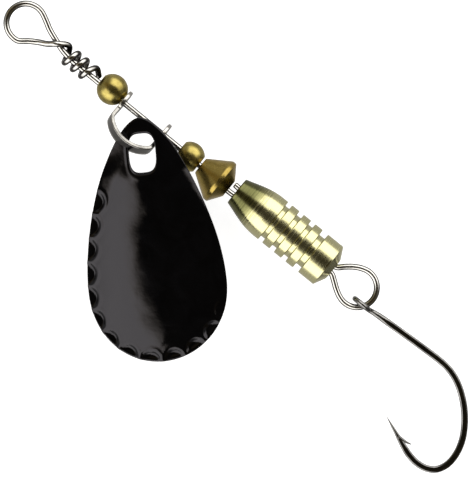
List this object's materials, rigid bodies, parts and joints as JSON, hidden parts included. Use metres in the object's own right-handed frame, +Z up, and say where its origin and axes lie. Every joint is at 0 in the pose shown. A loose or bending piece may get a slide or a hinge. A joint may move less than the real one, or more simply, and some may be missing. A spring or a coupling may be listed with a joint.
{
  "type": "inline spinner lure",
  "caption": "Inline spinner lure: a domed oval blade on a clevis turns round a wire shaft with beads, a conical spacer, a grooved turned body and a single hook.",
  "frame": {"origin": "middle of the footprint, on the ground that the lure lies on", "axes": "+X along the wire shaft from the line eye to the hook, +Z up out of the blade's domed side, blade and hook bend at low Y"},
  "size_m": [0.0792, 0.0276, 0.006],
  "materials": {
    "spring_wire": "drawn stainless spring wire, bright",
    "bead_brass": "polished brass with a light olive tarnish",
    "spacer_brass": "turned brass, polished, a little browner than the beads",
    "body_plating": "turned brass with pale champagne gold plating and fine turning marks",
    "clevis_nickel": "bright nickel plated strip",
    "blade_enamel": "thick gloss black enamel on both sides, with half-moons stamped along the edge",
    "hook_plating": "black nickel plating over steel wire, forged flatter along the shank and bend"
  },
  "bodies": {
    "shaft": {"wire_shaft": "spring_wire", "body": "body_plating"},
    "front_bead": {"front_bead": "bead_brass"},
    "clevis": {"clevis": "clevis_nickel"},
    "blade": {"blade": "blade_enamel"},
    "rear_bead": {"rear_bead": "bead_brass"},
    "cone_spacer": {"cone_spacer": "spacer_brass"},
    "hook": {"hook": "hook_plating"}
  },
  "joints": [
    {"name": "front_bead_spin", "type": "hinge", "parent": "shaft", "child": "front_bead", "pos_m": [-0.02316, 0.01083, 0.00302], "axis": [1, 0, 0], "continuous": true},
    {"name": "clevis_spin", "type": "hinge", "parent": "shaft", "child": "clevis", "pos_m": [-0.01796, 0.01043, 0.00302], "axis": [1, 0, 0], "continuous": true},
    {"name": "blade_swing", "type": "hinge", "parent": "clevis", "child": "blade", "pos_m": [-0.01626, 0.00743, 0.00392], "axis": [0, 0.454, 0.891], "range_deg": [-50, 3]},
    {"name": "rear_bead_spin", "type": "hinge", "parent": "shaft", "child": "rear_bead", "pos_m": [-0.01036, 0.01043, 0.00302], "axis": [1, 0, 0], "continuous": true},
    {"name": "cone_spin", "type": "hinge", "parent": "shaft", "child": "cone_spacer", "pos_m": [-0.00606, 0.01043, 0.00302], "axis": [1, 0, 0], "continuous": true},
    {"name": "hook_swing", "type": "hinge", "parent": "shaft", "child": "hook", "pos_m": [0.01832, 0.00973, 0.00302], "axis": [0, 1, 0], "range_deg": [-100, 100]}
  ]
}
